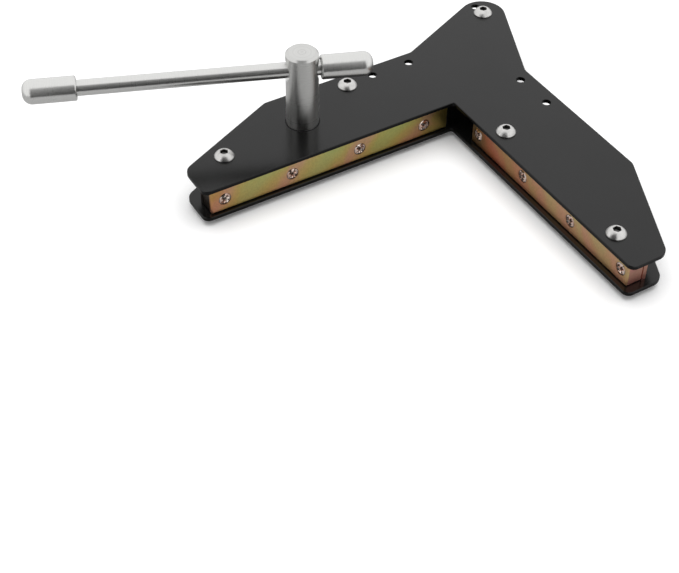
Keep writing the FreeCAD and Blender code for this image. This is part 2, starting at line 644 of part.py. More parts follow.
def cam_yoke():
    """Yoke round the cam, held by the jaw screws, with a slotted lug that runs on the middle spacer."""
    front = SLIDING_JAW_BACK
    inner = yoke_half_window()
    outer = inner + YOKE_ARM_WIDTH
    back = YOKE_WINDOW_BACK + YOKE_BACK_WALL
    slot_half = SPACER_DIAMETER / 2 + GUIDE_GAP
    slot_front = MIDDLE_SPACER[1] - SPACER_DIAMETER / 2 - GUIDE_GAP
    lug_right = MIDDLE_SPACER[0] + slot_half + GUIDE_WALL
    lug_front = slot_front - GUIDE_LUG_DEPTH
    lug_back = MIDDLE_SPACER[1] + GUIDE_PRONG_REACH
    levels = (PLATE_THICKNESS + JAW_SIDE_GAP, TOP_PLATE_UNDERSIDE - JAW_SIDE_GAP)
    corners = [
        (POST_X - outer, front, 0.0),
        (POST_X - inner, front, 0.0),
        (POST_X - inner, YOKE_WINDOW_BACK, YOKE_WINDOW_RADIUS),
        (POST_X + inner, YOKE_WINDOW_BACK, YOKE_WINDOW_RADIUS),
        (POST_X + inner, front, 0.0),
        (POST_X + outer, front, 0.0),
        (POST_X + outer, lug_front, YOKE_WINDOW_RADIUS),
        (lug_right, lug_front, YOKE_WINDOW_RADIUS),
        (lug_right, lug_back, GUIDE_CORNER_RADIUS),
        (MIDDLE_SPACER[0] + slot_half, lug_back, GUIDE_CORNER_RADIUS),
        (MIDDLE_SPACER[0] + slot_half, slot_front, GUIDE_CORNER_RADIUS),
        (MIDDLE_SPACER[0] - slot_half, slot_front, GUIDE_CORNER_RADIUS),
        (MIDDLE_SPACER[0] - slot_half, lug_back, GUIDE_CORNER_RADIUS),
        (MIDDLE_SPACER[0] - slot_half - GUIDE_WALL, lug_back, GUIDE_CORNER_RADIUS),
        (MIDDLE_SPACER[0] - slot_half - GUIDE_WALL, back, 0.0),
        (POST_X - outer, back, YOKE_OUTER_RADIUS),
    ]
    body = rounded_face(corners, levels[0]).extrude(Z_AXIS * (levels[1] - levels[0]))
    depth = JAW_SCREW_LONG_REACH + SCREW_GAP
    return body.cut([tapped_hole(place, front, depth) for place in sliding_screw_places()[1:3]])


def end_guide_fork():
    """Fork that runs on the end spacer, held by the sliding jaw's outermost screw."""
    front = SLIDING_JAW_BACK
    base = front + FORK_BASE_THICKNESS
    block_back = front + FORK_BLOCK_DEPTH
    screw_place = sliding_screw_places()[3]
    slot_half = SPACER_DIAMETER / 2 + GUIDE_GAP
    tip = END_SPACER[1] + GUIDE_PRONG_REACH
    levels = (PLATE_THICKNESS + JAW_SIDE_GAP, TOP_PLATE_UNDERSIDE - JAW_SIDE_GAP)
    corners = [
        (-screw_place - FORK_BLOCK_MARGIN, front, 0.0),
        (END_SPACER[0] + slot_half + GUIDE_WALL, front, 0.0),
        (END_SPACER[0] + slot_half + GUIDE_WALL, tip, GUIDE_CORNER_RADIUS),
        (END_SPACER[0] + slot_half, tip, GUIDE_CORNER_RADIUS),
        (END_SPACER[0] + slot_half, base, GUIDE_CORNER_RADIUS),
        (END_SPACER[0] - slot_half, base, GUIDE_CORNER_RADIUS),
        (END_SPACER[0] - slot_half, tip, GUIDE_CORNER_RADIUS),
        (END_SPACER[0] - slot_half - GUIDE_WALL, tip, GUIDE_CORNER_RADIUS),
        (END_SPACER[0] - slot_half - GUIDE_WALL, block_back, GUIDE_CORNER_RADIUS),
        (-screw_place - FORK_BLOCK_MARGIN, block_back, GUIDE_CORNER_RADIUS),
    ]
    body = rounded_face(corners, levels[0]).extrude(Z_AXIS * (levels[1] - levels[0]))
    return body.cut(tapped_hole(screw_place, front, JAW_SCREW_LONG_REACH + SCREW_GAP))


def bar_cylinder(radius, start, end):
    """Cylinder on the tommy bar's axis between two distances from the post's axis."""
    cylinder = Part.makeCylinder(radius, end - start, FreeCAD.Vector(start, 0, 0), X_AXIS)
    return moved(turned(cylinder, BAR_ANGLE), POST_X, POST_Y, BAR_LEVEL)


def inner_cap_face():
    """Distance from the post's axis to the nearer cap along the bar."""
    return POST_DIAMETER / 2 + CAP_TO_POST_AT_REST


def tommy_bar():
    """Plain bar that slides through the post and ends inside both caps."""
    near = inner_cap_face()
    return bar_cylinder(BAR_DIAMETER / 2, near - CAP_TO_CAP - CAP_SOCKET_DEPTH, near + CAP_SOCKET_DEPTH)


def bar_cap(face, direction):
    """Domed cap on one end of the bar, with its mouth at a distance from the post's axis."""
    radius = CAP_DIAMETER / 2
    mouth = CAP_MOUTH_DIAMETER / 2
    socket = BAR_DIAMETER / 2 + PRESS_GAP
    dome_start = CAP_LENGTH - CAP_DOME
    slant = CAP_DOME * math.cos(math.radians(45))
    shoulder = FreeCAD.Vector(dome_start, radius, 0)
    halfway = FreeCAD.Vector(dome_start + slant, radius - CAP_DOME + slant, 0)
    flat_edge = FreeCAD.Vector(CAP_LENGTH, radius - CAP_DOME, 0)
    chain = [
        flat_edge,
        FreeCAD.Vector(CAP_LENGTH, 0, 0),
        FreeCAD.Vector(CAP_SOCKET_DEPTH, 0, 0),
        FreeCAD.Vector(CAP_SOCKET_DEPTH, socket, 0),
        FreeCAD.Vector(CAP_MOUTH_DEPTH, socket, 0),
        FreeCAD.Vector(CAP_MOUTH_DEPTH, mouth, 0),
        FreeCAD.Vector(0, mouth, 0),
        FreeCAD.Vector(0, radius - CAP_CHAMFER, 0),
        FreeCAD.Vector(CAP_CHAMFER, radius, 0),
        shoulder,
    ]
    edges = [Part.LineSegment(start, end).toShape() for start, end in zip(chain, chain[1:])]
    edges.append(Part.Arc(shoulder, halfway, flat_edge).toShape())
    cap = Part.Face(Part.Wire(Part.sortEdges(edges)[0])).revolve(ORIGIN, X_AXIS, 360)
    if direction < 0:
        cap = turned(cap, 180)
    return moved(turned(moved(cap, face, 0), BAR_ANGLE), POST_X, POST_Y, BAR_LEVEL)


def build():
    """All pieces of the clamp by name."""
    sliding_places = sliding_screw_places()
    short_screw = JAW_DEPTH - JAW_SCREW_SUNK
    long_screw = short_screw + JAW_SCREW_LONG_REACH
    sliding_lengths = [short_screw, long_screw, long_screw, long_screw]
    sliding_ends = (SLIDING_JAW_FROM_CORNER, ARM_LENGTH - SLIDING_JAW_FROM_ARM_END)

    first = FIXED_JAW_FROM_CORNER + FIXED_JAW_SCREW_MARGIN
    last = FIXED_JAW_END - FIXED_JAW_SCREW_MARGIN
    step = (last - first) / (FIXED_JAW_SCREW_COUNT - 1)
    fixed_places = [first + step * index for index in range(FIXED_JAW_SCREW_COUNT)]
    fixed_lengths = [short_screw] * FIXED_JAW_SCREW_COUNT
    fixed_ends = (FIXED_JAW_FROM_CORNER, FIXED_JAW_END)

    top_bore = upper_sleeve_diameter() + 2 * PRESS_GAP
    bottom_bore = lower_sleeve_diameter() + 2 * PRESS_GAP
    near_cap = inner_cap_face()
    return {
        "top_plate": pole_plate(TOP_PLATE_UNDERSIDE, top_bore, pair_hole_places() + [HANGING_HOLE]),
        "bottom_plate": pole_plate(0.0, bottom_bore, [HANGING_HOLE]),
        "fixed_jaw_bar": on_right_arm(jaw_bar(
            *fixed_ends, FIXED_JAW_RECESS, 0.0, fixed_places, JAW_BOLTS, fixed_lengths)),
        "fixed_jaw_back_strip": on_right_arm(jaw_strip(*fixed_ends, FIXED_JAW_RECESS, 0.0, fixed_places)),
        "fixed_jaw_magnets": on_right_arm(jaw_magnets(FIXED_JAW_RECESS, 0.0, fixed_places, JAW_BOLTS)),
        "fixed_jaw_screws": on_right_arm(jaw_screws(fixed_places, FIXED_JAW_RECESS, fixed_lengths)),
        "sliding_jaw_bar": jaw_bar(
            *sliding_ends, SLIDING_JAW_RECESS, JAW_SIDE_GAP, sliding_places, [], sliding_lengths),
        "sliding_jaw_back_strip": jaw_strip(
            *sliding_ends, SLIDING_JAW_RECESS, JAW_SIDE_GAP, sliding_places),
        "sliding_jaw_magnets": jaw_magnets(SLIDING_JAW_RECESS, JAW_SIDE_GAP, sliding_places, []),
        "sliding_jaw_screws": jaw_screws(sliding_places, SLIDING_JAW_RECESS, sliding_lengths),
        "cam_yoke": cam_yoke(),
        "end_guide_fork": end_guide_fork(),
        "release_cam": release_cam(),
        "cam_key": key_block(0.0),
        "handle_post": handle_post(),
        "upper_post_bush": upper_post_bush(),
        "lower_post_bush": lower_post_bush(),
        "post_circlip": post_circlip(),
        "tommy_bar": tommy_bar(),
        "near_bar_cap": bar_cap(near_cap, 1),
        "far_bar_cap": bar_cap(near_cap - CAP_TO_CAP, -1),
        "end_spacer": spacer(END_SPACER),
        "middle_spacer": spacer(MIDDLE_SPACER),
        "apex_spacer": spacer(APEX_SCREW),
        "top_button_screws": button_screws(False),
        "bottom_button_screws": button_screws(True),
    }


os.makedirs("parts", exist_ok=True)
for node, shape in build().items():
    shape.exportStep("parts/" + node + ".step")
    print(node, len(shape.Solids), round(shape.Volume, 1), shape.isValid())
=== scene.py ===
"""Looks of the corner clamp: a finish for each of its pieces, and its screws with their real heads.

Lengths are in metres, and MM turns a drawing size into one."""

import json
import math

import bmesh
import bpy
from mathutils import Matrix, Vector


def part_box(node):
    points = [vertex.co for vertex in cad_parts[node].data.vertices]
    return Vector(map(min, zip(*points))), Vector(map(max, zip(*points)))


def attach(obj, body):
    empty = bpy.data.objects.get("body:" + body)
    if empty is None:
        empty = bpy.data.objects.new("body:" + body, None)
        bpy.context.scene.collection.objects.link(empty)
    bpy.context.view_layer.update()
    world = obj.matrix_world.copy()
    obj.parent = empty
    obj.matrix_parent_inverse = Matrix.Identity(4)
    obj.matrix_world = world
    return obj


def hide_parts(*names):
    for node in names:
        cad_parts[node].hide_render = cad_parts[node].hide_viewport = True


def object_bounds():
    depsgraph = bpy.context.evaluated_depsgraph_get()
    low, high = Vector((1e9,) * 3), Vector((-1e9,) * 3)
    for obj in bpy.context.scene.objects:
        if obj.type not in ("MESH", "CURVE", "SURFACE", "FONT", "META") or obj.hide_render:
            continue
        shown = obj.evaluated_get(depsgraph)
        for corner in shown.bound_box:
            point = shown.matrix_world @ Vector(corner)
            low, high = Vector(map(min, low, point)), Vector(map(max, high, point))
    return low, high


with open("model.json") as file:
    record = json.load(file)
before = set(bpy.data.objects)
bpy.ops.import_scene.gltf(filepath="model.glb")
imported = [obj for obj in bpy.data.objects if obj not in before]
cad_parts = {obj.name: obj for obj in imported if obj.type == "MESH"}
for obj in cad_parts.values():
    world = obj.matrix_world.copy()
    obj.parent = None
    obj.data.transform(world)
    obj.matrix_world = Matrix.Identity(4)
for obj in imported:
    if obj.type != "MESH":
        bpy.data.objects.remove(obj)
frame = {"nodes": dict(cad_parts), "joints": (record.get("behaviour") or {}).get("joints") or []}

MM = 0.001
CAD_LOW, CAD_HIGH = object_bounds()

# Camera, fitted to the outline of the plates in the photograph
PHOTO_WIDTH = 679
FOCAL_PIXELS = 1459.3
SENSOR_WIDTH = 36.0
CAMERA_PLACE = Vector((-506.3, -673.9, 656.8)) * MM
CAMERA_YAW = math.radians(-31.483)
CAMERA_PITCH = math.radians(44.191)
CAMERA_ROLL = math.radians(0.849)

# Studio: the floor fades to white between two distances from the clamp
FLOOR_SIZE = 8.0
FADE_START = 0.5
FADE_END = 1.5
PAPER_BOUNCE = 0.8
PAPER_GLOW = 0.03
SKY_LIGHT = 0.6
SOFTBOX_SIZE = (3.6, 3.6)
SOFTBOX_DISTANCE = 2.5
SOFTBOX_GLOW = 1.7
SOFTBOX_ELEVATION = math.radians(80)
CARD_SIZE = 1.6
CARD_LIFT = 0.2 * MM
FLAG_DISTANCE = 270 * MM
FLAG_WIDTH = 420 * MM
FLAG_TOP = 560 * MM

# Nearly all values of a noise texture lie between the first two, and most between the others
NOISE_LOW = 0.3
NOISE_HIGH = 0.7
NOISE_LOWER_MIDDLE = 0.35
NOISE_UPPER_MIDDLE = 0.65

# Powder coat: sizes of its orange peel and of its flow, and the shine of cut edges and of faces
COAT_PEEL_SIZE = 1.3 * MM
COAT_FLOW_SIZE = 35 * MM
COAT_EDGE_SHINE = 0.17
COAT_FACE_SHINE = 0.5

# Yellow zinc: its clouds lean with height and shift the bands of film along the jaw
ARM_LENGTH = -CAD_LOW.y
ZINC_CLOUD_SIZE = 22 * MM
ZINC_GRAIN_SIZE = 1.4 * MM
ZINC_LEAN = -0.8
ZINC_LEAST_SHIFT = 5 * MM
ZINC_MOST_SHIFT = 17 * MM
BLUSH_FOOT = 5 * MM
BLUSH_TOP = 20 * MM

# Films: the end tone, a painted shade on the left jaw, starts past a place along the arm and behind
# a depth from the work face
JAW_END_PLACE = -ARM_LENGTH + 8 * MM
FACE_PLATE_BACK = 5 * MM
LEFT_FILM = {
    "band": 52.7 * MM,
    "peak": 0.0,
    "tints": [(0.0, "#e4b490"), (0.25, "#dec07e"), (0.6, "#d8c67a"), (1.0, "#cfcd82")],
    # Darker at the inner end, a painted shade of the corner, and rose towards the outer end
    "inner_shade_and_tint": [
        (0.0, "#c4b8a8"), (0.2, "#ececdc"), (0.6, "#ffffff"), (0.91, "#fff6f2"), (0.97, "#fcd8d4"),
    ],
    # Painted shade: the left jaw's outer end is darkened as if it mirrored the black plate
    "end_shade_and_tint": "#3d3d3d",
    "roughness": 0.33,
}
RIGHT_FILM = {
    "band": 27 * MM,
    "peak": 4 * MM,
    "tints": [(0.0, "#eab894"), (0.5, "#e6bc8e"), (1.0, "#e0c48e")],
    # Darker at the inner end, a painted shade of the corner, then rose
    "inner_shade_and_tint": [(0.11, "#9ca08c"), (0.17, "#dca29e"), (0.26, "#ecd2c8"), (0.6, "#ffffff")],
    "end_shade_and_tint": "#eed2ff",
    "roughness": 0.45,
}

# Turned steel and acetal: width of their tool marks
LATHE_RING_SIZE = 0.5 * MM
ACETAL_MARK_SIZE = 0.8 * MM

# Plated and blackened metals: dark clouds are rougher than the number says, light ones smoother
DARK_CLOUD_ROUGHNESS = 1.25
LIGHT_CLOUD_ROUGHNESS = 0.8
# The screws' last tone is the painted shade and grime of their recesses and rims
METALS = {
    "bright_nickel_screw": {
        "light": "#dddcda", "dark": "#d2d1cf", "roughness": 0.32,
        "cloud_size": 3 * MM, "dent": 0.004 * MM, "grime_and_shade_tone": "#5c5c5c",
    },
    "yellow_zinc_screw": {
        "light": "#fff0e6", "dark": "#dcb4a2", "roughness": 0.07,
        "cloud_size": 4 * MM, "dent": 0.001 * MM, "grime_and_shade_tone": "#606060",
    },
    "nickel_plated_magnet": {
        "light": "#cfc9ba", "dark": "#b5afa2", "roughness": 0.22,
        "cloud_size": 5 * MM, "dent": 0.01 * MM,
    },
    "black_oxide_steel": {
        "light": "#38383a", "dark": "#2a2a2c", "roughness": 0.38,
        "cloud_size": 6 * MM, "dent": 0.02 * MM,
    },
}

# Button head screws
HEX_HEAD_DIAMETER = 14 * MM
HEX_HEAD_HEIGHT = 4.4 * MM
HEX_HEAD_RIM = 0.8 * MM
HEX_HEAD_FLAT = 6.8 * MM
HEX_SHANK_DIAMETER = 8 * MM
HEX_SOCKET_WIDTH = 5 * MM
HEX_SOCKET_DEPTH = 2.8 * MM
HEX_SOCKET_CONE = 1.0 * MM

# Jaw screws: each step of the cross recess has its share of the span, the width and the depth
CROSS_HEAD_DIAMETER = 9.3 * MM
CROSS_HEAD_DOME = 1.2 * MM
CROSS_HEAD_RIM = 0.3 * MM
CROSS_SHANK_DIAMETER = 5 * MM
CROSS_SPAN = 5.6 * MM
CROSS_WIDTH = 1.6 * MM
CROSS_DEPTH = 2.4 * MM
CROSS_STEPS = ((0.25, 0.4, 1.0), (0.45, 0.55, 0.85))
CROSS_BEVEL = 0.6 * MM
CROSS_BEVEL_DEPTH = 1.2 * MM

# Angles at which the screws stopped when they were tightened
HEX_STOPS = {"Stop Angle": math.radians(24), "Stop Spread": math.radians(14), "Seed": 3}
CROSS_STOPS = {"Stop Angle": math.radians(45), "Stop Spread": math.radians(4), "Seed": 5}

# Painted shade and grime on the screws' rings, from the recess's floor up, on the dome's last rings
# and on its rim
GRIME_AND_SHADE_LAYER = "grime_and_shade"
HEX_GRIME_AND_SHADE = (0.35, 0.6, 1.0, 0.9)
CROSS_RECESS_GRIME_AND_SHADE = (1.0, 1.0, 0.3)
CROSS_DOME_GRIME_AND_SHADE = (0.2, 0.5, 0.8, 1.0)
CROSS_RIM_GRIME_AND_SHADE = (1.0, 1.0)

# Meshes of all screws
SCREW_EDGE = 0.18 * MM
RING_POINTS = 96
DOME_STEPS = 10
SHARP_ANGLE = math.radians(32)
WELD_DISTANCE = MM / 1000
LENGTH_DIGITS = 5

UP = Vector((0, 0, 1))
LEFT_FACE_OUT = Vector((0, -1, 0))
RIGHT_FACE_OUT = Vector((-1, 0, 0))
BAR_AXIS = Vector(next(
    joint["axis"] for joint in frame["joints"] if joint["name"] == "bar_slide"))


def linear(code):
    """Linear colour of an sRGB hex code."""
    channels = [int(code[place:place + 2], 16) / 255 for place in (1, 3, 5)]
    return [c / 12.92 if c <= 0.04045 else ((c + 0.055) / 1.055) ** 2.4 for c in channels] + [1.0]


def add(tree, kind, links=None, stops=None, **settings):
    """Adds a node, sets its properties, feeds its inputs and fills its colour ramp.

    An input gets a value, another node's output, or another node, which stands for its first
    output."""
    node = tree.nodes.new(kind)
    for name, value in settings.items():
        setattr(node, name, value)
    for socket, value in (links or {}).items():
        if isinstance(value, bpy.types.Node):
            value = value.outputs[0]
        if isinstance(value, bpy.types.NodeSocket):
            tree.links.new(value, node.inputs[socket])
        else:
            node.inputs[socket].default_value = value
    if stops:
        elements = node.color_ramp.elements
        while len(elements) < len(stops):
            elements.new(0.5)
        for element, (place, code) in zip(elements, stops):
            element.position = place
            element.color = linear(code)
    return node


def start_material(name):
    """New material with an empty node tree."""
    material = bpy.data.materials.new(name)
    material.use_nodes = True
    material.node_tree.nodes.clear()
    return material, material.node_tree


def middle_of(node):
    """Middle of a CAD node's box."""
    low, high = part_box(node)
    return (low + high) / 2


def studio_ray(tree):
    """1 for camera, glossy and transmission rays, which see the white studio, 0 for others."""
    path = add(tree, "ShaderNodeLightPath").outputs
    seen = add(tree, "ShaderNodeMath", {0: path["Is Camera Ray"], 1: path["Is Glossy Ray"]})
    return add(
        tree, "ShaderNodeMath", {0: seen, 1: path["Is Transmission Ray"]}, use_clamp=True)


def make_camera():
    """Camera at the photograph's place, angle and focal length."""
    right = Vector((math.cos(CAMERA_YAW), math.sin(CAMERA_YAW), 0))
    forward = Vector((
        -math.sin(CAMERA_YAW) * math.cos(CAMERA_PITCH),
        math.cos(CAMERA_YAW) * math.cos(CAMERA_PITCH),
        -math.sin(CAMERA_PITCH),
    ))
    up = right.cross(forward)
    across = math.cos(CAMERA_ROLL) * right + math.sin(CAMERA_ROLL) * up
    top = math.cos(CAMERA_ROLL) * up - math.sin(CAMERA_ROLL) * right
    turn = Matrix((across, top, -forward)).transposed().to_4x4()
    camera = bpy.data.objects.new("camera", bpy.data.cameras.new("camera"))
    camera.data.sensor_width = SENSOR_WIDTH
    camera.data.lens = FOCAL_PIXELS / PHOTO_WIDTH * SENSOR_WIDTH
    camera.matrix_world = Matrix.Translation(CAMERA_PLACE) @ turn
    bpy.context.scene.collection.objects.link(camera)
    bpy.context.scene.camera = camera


def sheet_object(name, corners, material):
    """Four-cornered stage sheet."""
    mesh = bpy.data.meshes.new(name)
    mesh.from_pydata(corners, [], [tuple(range(len(corners)))])
    mesh.materials.append(material)
    sheet = bpy.data.objects.new(name, mesh)
    bpy.context.scene.collection.objects.link(sheet)
    return sheet


def floor_sheet(name, size, level, material):
    """Square stage sheet that lies at a level."""
    half = size / 2
    corners = [
        (-half, -half, level), (half, -half, level), (half, half, level), (-half, half, level)]
    return sheet_object(name, corners, material)


def only_in_reflections(sheet):
    """Hides a stage sheet from all rays but the glossy ones."""
    sheet.visible_camera = False
    sheet.visible_diffuse = False
    sheet.visible_shadow = False
    sheet.visible_transmission = False


def floor_paper():
    """Matt white paper: grey where the clamp shades it, pure white elsewhere, open from below.

    Far from the clamp it glows as white as the sky, so no horizon shows."""
    material, tree = start_material("white_studio_paper")
    seen = studio_ray(tree)
    place = add(tree, "ShaderNodeTexCoord").outputs["Object"]
    distance = add(tree, "ShaderNodeVectorMath", {0: place}, operation="LENGTH")
    far = add(tree, "ShaderNodeMapRange", {
        "Value": distance.outputs["Value"], "From Min": FADE_START, "From Max": FADE_END})
    fade = add(tree, "ShaderNodeMath", {0: seen, 1: far}, operation="MULTIPLY")
    tone = add(tree, "ShaderNodeMapRange", {"Value": seen, "To Min": PAPER_BOUNCE, "To Max": 1.0})
    paper = add(tree, "ShaderNodeBsdfDiffuse", {"Color": tone})
    lift = add(tree, "ShaderNodeMath", {0: seen, 1: PAPER_GLOW}, operation="MULTIPLY")
    glow = add(tree, "ShaderNodeEmission", {"Strength": lift})
    lit = add(tree, "ShaderNodeAddShader", {0: paper, 1: glow})
    sky = add(tree, "ShaderNodeEmission", {"Color": linear("#ffffff")})
    top = add(tree, "ShaderNodeMixShader", {0: fade, 1: lit, 2: sky})
    below = add(tree, "ShaderNodeNewGeometry").outputs["Backfacing"]
    window = add(tree, "ShaderNodeBsdfTransparent")
    both = add(tree, "ShaderNodeMixShader", {0: below, 1: top, 2: window})
    add(tree, "ShaderNodeOutputMaterial", {"Surface": both})
    return material


def grey_card():
    """Grey card under the clamp, which keeps bright metal from mirroring a white floor."""
    material, tree = start_material("grey_studio_card")
    card = add(tree, "ShaderNodeBsdfDiffuse", {"Color": linear("#b0b0b0")})
    add(tree, "ShaderNodeOutputMaterial", {"Surface": card})
    return material


def flag_cloth():
    """Dark flag cloth glowing with painted light: darkest at its foot, lighter towards its top."""
    material, tree = start_material("dark_flag_cloth")
    place = add(tree, "ShaderNodeTexCoord").outputs["Object"]
    height = add(tree, "ShaderNodeSeparateXYZ", {0: place}).outputs["Z"]
    part = add(tree, "ShaderNodeMapRange", {"Value": height, "From Max": FLAG_TOP})
    shade = add(tree, "ShaderNodeValToRGB", {0: part}, [(0.1, "#2c2c2c"), (1.0, "#8a8a8a")])
    cloth = add(tree, "ShaderNodeEmission", {0: shade})
    add(tree, "ShaderNodeOutputMaterial", {"Surface": cloth})
    return material


def make_sky():
    """White world, weaker as a light than where it is seen."""
    world = bpy.data.worlds.new("white_studio")
    bpy.context.scene.world = world
    world.use_nodes = True
    tree = world.node_tree
    tree.nodes.clear()
    strength = add(tree, "ShaderNodeMapRange", {
        "Value": studio_ray(tree), "To Min": SKY_LIGHT, "To Max": 1.0})
    sky = add(tree, "ShaderNodeBackground", {"Color": linear("#ffffff"), "Strength": strength})
    add(tree, "ShaderNodeOutputWorld", {"Surface": sky})


def make_softbox(toward):
    """One large softbox high behind the clamp, which no reflection shows."""
    light = bpy.data.lights.new("softbox", "AREA")
    light.shape = "RECTANGLE"
    light.size, light.size_y = SOFTBOX_SIZE
    light.energy = SOFTBOX_GLOW * math.pi * light.size * light.size_y
    softbox = bpy.data.objects.new("softbox", light)
    bpy.context.scene.collection.objects.link(softbox)
    direction = math.cos(SOFTBOX_ELEVATION) * toward + math.sin(SOFTBOX_ELEVATION) * UP
    softbox.location = direction * SOFTBOX_DISTANCE
    softbox.rotation_euler = direction.to_track_quat("Z", "Y").to_euler()
    softbox.visible_glossy = False


def make_flag(toward, level):
    """Dark flag between the camera and the clamp, seen only in reflections."""
    base = middle_of("handle_post") - toward * FLAG_DISTANCE
    base.z = 0
    side = toward.cross(UP) * FLAG_WIDTH / 2
    low, high = level * UP, FLAG_TOP * UP
    corners = [base - side + low, base + side + low, base + side + high, base - side + high]
    only_in_reflections(sheet_object("flag", corners, flag_cloth()))


def make_studio():
    """White sky and floor, a grey card on the floor, a softbox and a flag."""
    make_sky()
    level = CAD_LOW.z
    floor_sheet("floor", FLOOR_SIZE, level, floor_paper())
    only_in_reflections(floor_sheet("card", CARD_SIZE, level + CARD_LIFT, grey_card()))
    toward = Vector((-math.sin(CAMERA_YAW), math.cos(CAMERA_YAW), 0))
    make_softbox(toward)
    make_flag(toward, level)


def powder_coat():
    """Black polyester powder coat, baked on: near black, with a soft gloss and a fine orange peel.

    The plates' cut edges are coarse under the coat, so they shine less than their faces."""
    material, tree = start_material("black_powder_coat")
    space = add(tree, "ShaderNodeTexCoord").outputs
    place = space["Object"]
    facing = add(tree, "ShaderNodeSeparateXYZ", {0: space["Normal"]}).outputs["Z"]
    level = add(tree, "ShaderNodeMath", {0: facing}, operation="ABSOLUTE")
    shine = add(tree, "ShaderNodeMapRange", {
        "Value": level, "To Min": COAT_EDGE_SHINE, "To Max": COAT_FACE_SHINE})
    peel = add(tree, "ShaderNodeTexNoise", {
        "Vector": place, "Scale": 1 / COAT_PEEL_SIZE, "Detail": 1.0})
    flow = add(tree, "ShaderNodeTexNoise", {
        "Vector": place, "Scale": 1 / COAT_FLOW_SIZE, "Detail": 2.0})
    gloss = add(tree, "ShaderNodeMapRange", {
        "Value": flow, "From Min": NOISE_LOW, "From Max": NOISE_HIGH,
        "To Min": 0.19, "To Max": 0.23})
    shade = add(tree, "ShaderNodeValToRGB", {0: flow}, [
        (NOISE_LOW, "#0b0b0b"), (NOISE_HIGH, "#0f0f0f")])
    bump = add(tree, "ShaderNodeBump", {
        "Height": peel, "Strength": 0.5, "Distance": 0.012 * MM})
    coat = add(tree, "ShaderNodeBsdfPrincipled", {
        "Base Color": shade, "Roughness": gloss, "IOR": 1.44, "Specular IOR Level": shine,
        "Normal": bump})
    add(tree, "ShaderNodeOutputMaterial", {"Surface": coat})
    return material


def yellow_zinc(name, along, across, band, peak, tints, inner_shade_and_tint, end_shade_and_tint, roughness):
    """Zinc plate with a yellow chromate film, whose tint follows the film's thickness.

    The thickness swells and thins once in each band along the jaw, which takes the tint from
    copper to yellow and green and back, in slanted clouds with a fine grain. The film darkens
    towards the inner end, a painted shade of the corner, and is a little redder low down. The
    outer end behind the face plate has a tone of its own: a painted shade on the left jaw, a
    tint on the right."""
    material, tree = start_material(name)
    place = add(tree, "ShaderNodeTexCoord").outputs["Object"]
    axes = add(tree, "ShaderNodeSeparateXYZ", {0: place}).outputs
    cloud = add(tree, "ShaderNodeTexNoise", {
        "Vector": place, "Scale": 1 / ZINC_CLOUD_SIZE, "Detail": 2.0, "Roughness": 0.5,
        "Distortion": 0.6})
    shift = add(tree, "ShaderNodeMapRange", {
        "Value": cloud, "From Min": NOISE_LOW, "From Max": NOISE_HIGH,
        "To Min": ZINC_LEAST_SHIFT, "To Max": ZINC_MOST_SHIFT})
    lean = add(tree, "ShaderNodeMath", {
        0: axes["Z"], 1: ZINC_LEAN, 2: shift}, operation="MULTIPLY_ADD")
    reach = add(tree, "ShaderNodeMath", {0: axes[along], 1: lean}, operation="ADD")
    turn = add(tree, "ShaderNodeMath", {
        0: reach, 1: 2 * math.pi / band, 2: 2 * math.pi * peak / band}, operation="MULTIPLY_ADD")
    swell = add(tree, "ShaderNodeMath", {0: turn}, operation="COSINE")
    thickness = add(tree, "ShaderNodeMapRange", {"Value": swell, "From Min": -1.0})
    tint = add(tree, "ShaderNodeValToRGB", {0: thickness}, tints)
    # The film darkens towards the inner end: a painted shade of the corner
    part = add(tree, "ShaderNodeMapRange", {
        "Value": reach, "From Min": 0.0, "From Max": -ARM_LENGTH})
    inner_shade_and_tint_ramp = add(tree, "ShaderNodeValToRGB", {0: part}, inner_shade_and_tint)
    film = add(tree, "ShaderNodeVectorMath", {0: tint, 1: inner_shade_and_tint_ramp}, operation="MULTIPLY")
    level = add(tree, "ShaderNodeMapRange", {
        "Value": axes["Z"], "From Min": BLUSH_FOOT, "From Max": BLUSH_TOP})
    blush = add(tree, "ShaderNodeValToRGB", {0: level}, [(0.0, "#fff0ee"), (1.0, "#f9ffff")])
    tone = add(tree, "ShaderNodeVectorMath", {0: film, 1: blush}, operation="MULTIPLY")
    grain = add(tree, "ShaderNodeTexNoise", {
        "Vector": place, "Scale": 1 / ZINC_GRAIN_SIZE, "Detail": 2.0})
    fleck = add(tree, "ShaderNodeMapRange", {
        "Value": grain, "From Min": NOISE_LOW, "From Max": NOISE_HIGH,
        "To Min": 0.92, "To Max": 1.06})
    # The outer end behind the face plate takes the end tone: a painted shade on the left jaw, a
    # tint on the right
    beyond = add(tree, "ShaderNodeMath", {
        0: axes[along], 1: JAW_END_PLACE}, operation="LESS_THAN")
    behind = add(tree, "ShaderNodeMath", {
        0: axes[across], 1: FACE_PLATE_BACK}, operation="GREATER_THAN")
    end = add(tree, "ShaderNodeMath", {0: beyond, 1: behind}, operation="MULTIPLY")
    dim = add(tree, "ShaderNodeValToRGB", {0: end}, [(0.0, "#ffffff"), (1.0, end_shade_and_tint)])
    end_shade_and_grain = add(tree, "ShaderNodeVectorMath", {0: dim, 1: fleck}, operation="MULTIPLY")
    skin = add(tree, "ShaderNodeVectorMath", {0: tone, 1: end_shade_and_grain}, operation="MULTIPLY")
    bump = add(tree, "ShaderNodeBump", {
        "Height": grain, "Strength": 0.4, "Distance": 0.02 * MM})
    plate = add(tree, "ShaderNodeBsdfPrincipled", {
        "Base Color": skin, "Metallic": 1.0, "Roughness": roughness, "Normal": bump})
    add(tree, "ShaderNodeOutputMaterial", {"Surface": plate})
    return material


